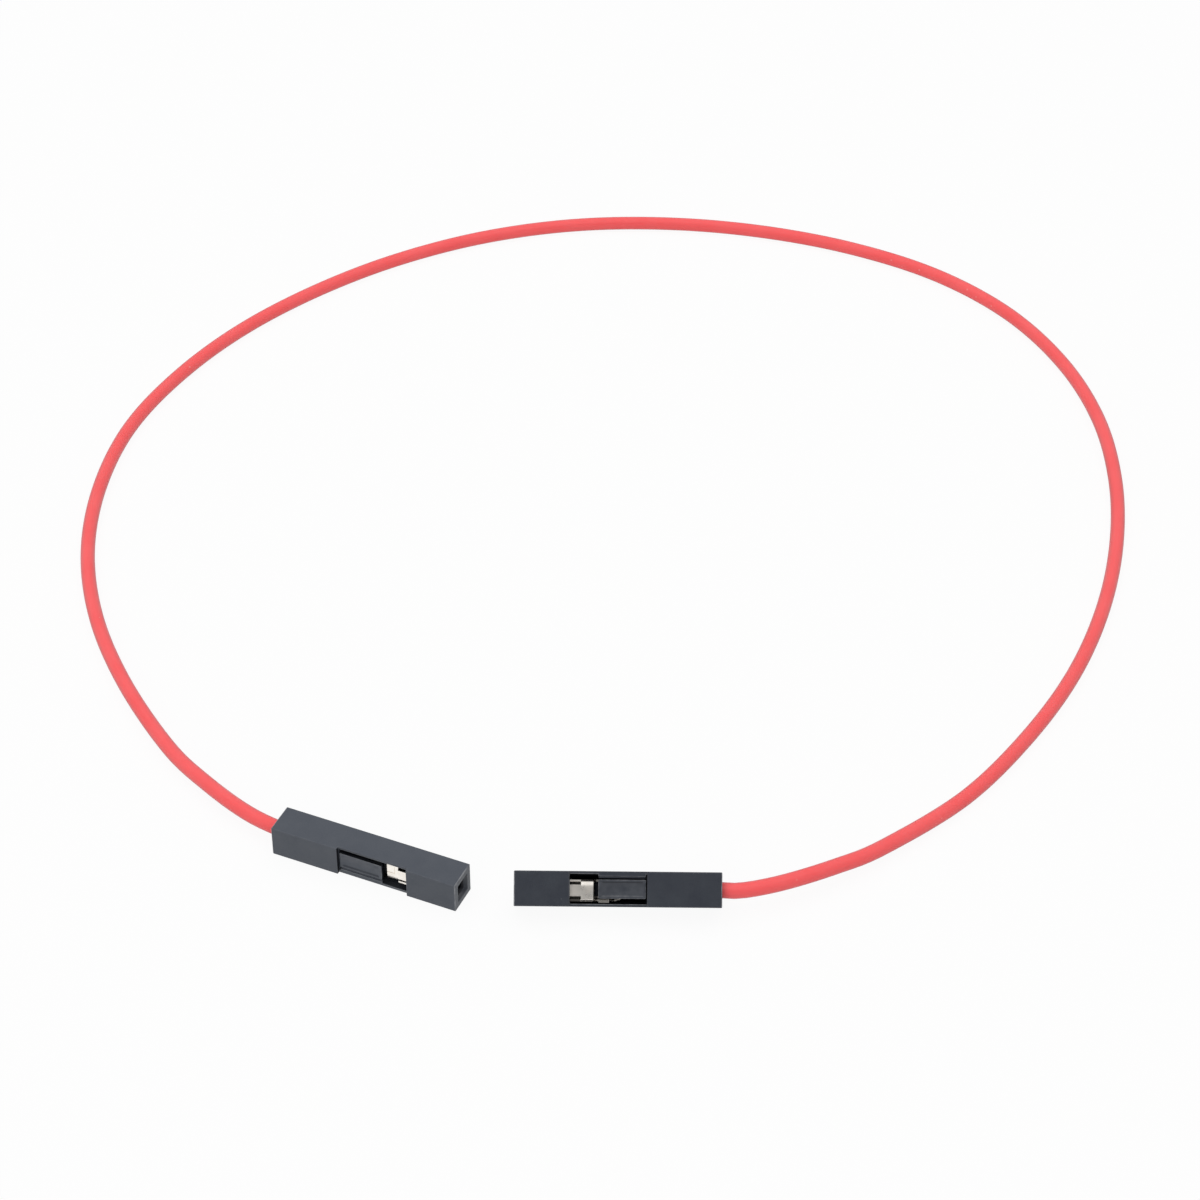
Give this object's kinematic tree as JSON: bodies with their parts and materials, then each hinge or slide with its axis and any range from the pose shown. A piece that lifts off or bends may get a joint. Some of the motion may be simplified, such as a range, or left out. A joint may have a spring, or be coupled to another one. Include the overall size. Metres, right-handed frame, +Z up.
{
  "type": "breadboard jumper wire",
  "caption": "Flexible insulated jumper lead with a square moulded crimp-socket connector at each end, for linking header pins on boards.",
  "frame": {"origin": "on the resting surface, under the middle of the box round the two connectors", "axes": "+Z up, +X along the line of the two connectors from connector a's side to connector b's, +Y towards the far side of the wire's loop"},
  "size_m": [0.083, 0.0881, 0.0034],
  "materials": {
    "housing": "fine matte moulded surface, slightly satin on the edges",
    "terminal": "bright tin plating over the stamped and folded sheet",
    "jacket": "soft satin red vinyl insulation",
    "strand": "tinned drawn wire"
  },
  "bodies": {
    "root": {"housing_a": "housing", "housing_b": "housing", "terminal_a": "terminal", "terminal_b": "terminal", "wire_jacket": "jacket", "strand_1": "strand", "strand_2": "strand", "strand_3": "strand", "strand_4": "strand", "strand_5": "strand", "strand_6": "strand", "strand_7": "strand"}
  },
  "joints": []
}
